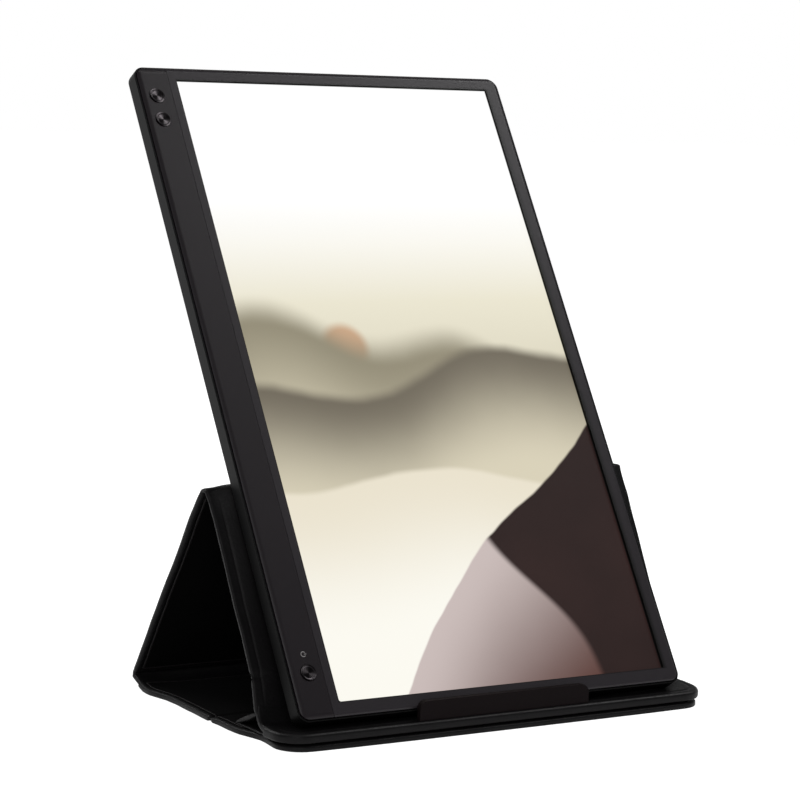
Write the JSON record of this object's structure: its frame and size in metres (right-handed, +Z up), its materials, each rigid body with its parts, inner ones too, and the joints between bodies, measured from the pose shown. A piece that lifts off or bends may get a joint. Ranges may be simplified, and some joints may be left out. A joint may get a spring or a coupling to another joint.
{
  "type": "portable monitor with cover",
  "caption": "Slim portable monitor standing upright on its side in a folding leather cover, which makes a tent behind it and a flap with a ledge under its lower edge.",
  "frame": {"origin": "on the table, under the middle of the cover's floor panel", "axes": "+X to the viewer's right, +Y to the back, +Z up"},
  "size_m": [0.2504, 0.2024, 0.318],
  "materials": {
    "shell_abs": "fine textured dark grey",
    "front_abs": "satin near-black",
    "screen_glass": "anti-glare screen surface",
    "diffuser_film": "matt white",
    "light_guide_acrylic": "clear polished",
    "led_bar": "matt yellow",
    "steel": "plain sheet",
    "circuit_board": "green solder mask",
    "chip_epoxy": "matt black",
    "port_steel": "plain stamped",
    "flat_cable": "amber film",
    "button_metal": "dark anodised, spun",
    "cover_leather": "fine grained near-black",
    "cover_lining": "microfibre, black",
    "cover_board": "pressed grey board",
    "magnet": "nickel plated",
    "ledge_rubber": "matt brown-black"
  },
  "bodies": {
    "floor": {"floor_skin": "cover_leather", "floor_lining": "cover_lining", "floor_board_rear": "cover_board", "floor_board_front": "cover_board", "floor_magnets": "magnet"},
    "leg": {"leg_skin": "cover_leather", "leg_lining": "cover_lining", "leg_board": "cover_board"},
    "support": {"support_skin": "cover_leather", "support_lining": "cover_lining", "support_board_upper": "cover_board", "support_board_lower": "cover_board"},
    "flap": {"flap_skin": "cover_leather", "flap_lining": "cover_lining", "flap_board": "cover_board", "flap_magnets": "magnet", "ledge_bar": "ledge_rubber"},
    "monitor": {"rear_shell": "shell_abs", "display_bezel": "front_abs", "control_strip": "front_abs", "lcd_cell": "screen_glass", "diffuser_films": "diffuser_film", "light_guide": "light_guide_acrylic", "reflector_sheet": "diffuser_film", "back_pan": "steel", "led_bar": "led_bar", "timing_board": "circuit_board", "main_board": "circuit_board", "power_board": "circuit_board", "board_chips": "chip_epoxy", "tact_switches": "chip_epoxy", "board_screws": "steel", "usb_c_port": "port_steel", "panel_cable": "flat_cable", "power_cable": "flat_cable"},
    "upper_key": {"button_up": "button_metal"},
    "lower_key": {"button_down": "button_metal"},
    "power_key": {"power_button": "button_metal"}
  },
  "joints": [
    {"name": "stand_fold", "type": "hinge", "parent": "floor", "child": "leg", "pos_m": [0, 0.083, 0.0043], "axis": [1, 0, 0], "range_deg": [0, 45]},
    {"name": "apex_fold", "type": "hinge", "parent": "leg", "child": "support", "pos_m": [0, 0.00889, 0.11445], "axis": [1, 0, 0], "range_deg": [-99.1, 1]},
    {"name": "foot_fold", "type": "hinge", "parent": "support", "child": "flap", "pos_m": [0, -0.049, 0.008], "axis": [1, 0, 0], "range_deg": [-1, 54.1]},
    {"name": "monitor_lift", "type": "slide", "parent": "support", "child": "monitor", "axis": [0, 0.5297, 0.8482], "range_m": [0, 0.14]},
    {"name": "button_up_press", "type": "slide", "parent": "monitor", "child": "upper_key", "axis": [0, 0.8482, -0.5297], "range_m": [0, 0.0005], "stiffness_N_per_m": 600, "springref_m": -0.002},
    {"name": "button_down_press", "type": "slide", "parent": "monitor", "child": "lower_key", "axis": [0, 0.8482, -0.5297], "range_m": [0, 0.0005], "stiffness_N_per_m": 600, "springref_m": -0.002},
    {"name": "power_press", "type": "slide", "parent": "monitor", "child": "power_key", "axis": [0, 0.8482, -0.5297], "range_m": [0, 0.0005], "stiffness_N_per_m": 600, "springref_m": -0.002}
  ],
  "couplings": [
    {"joint": "apex_fold", "follows": "stand_fold", "ratio": -2.18},
    {"joint": "foot_fold", "follows": "stand_fold", "ratio": 1.18}
  ]
}
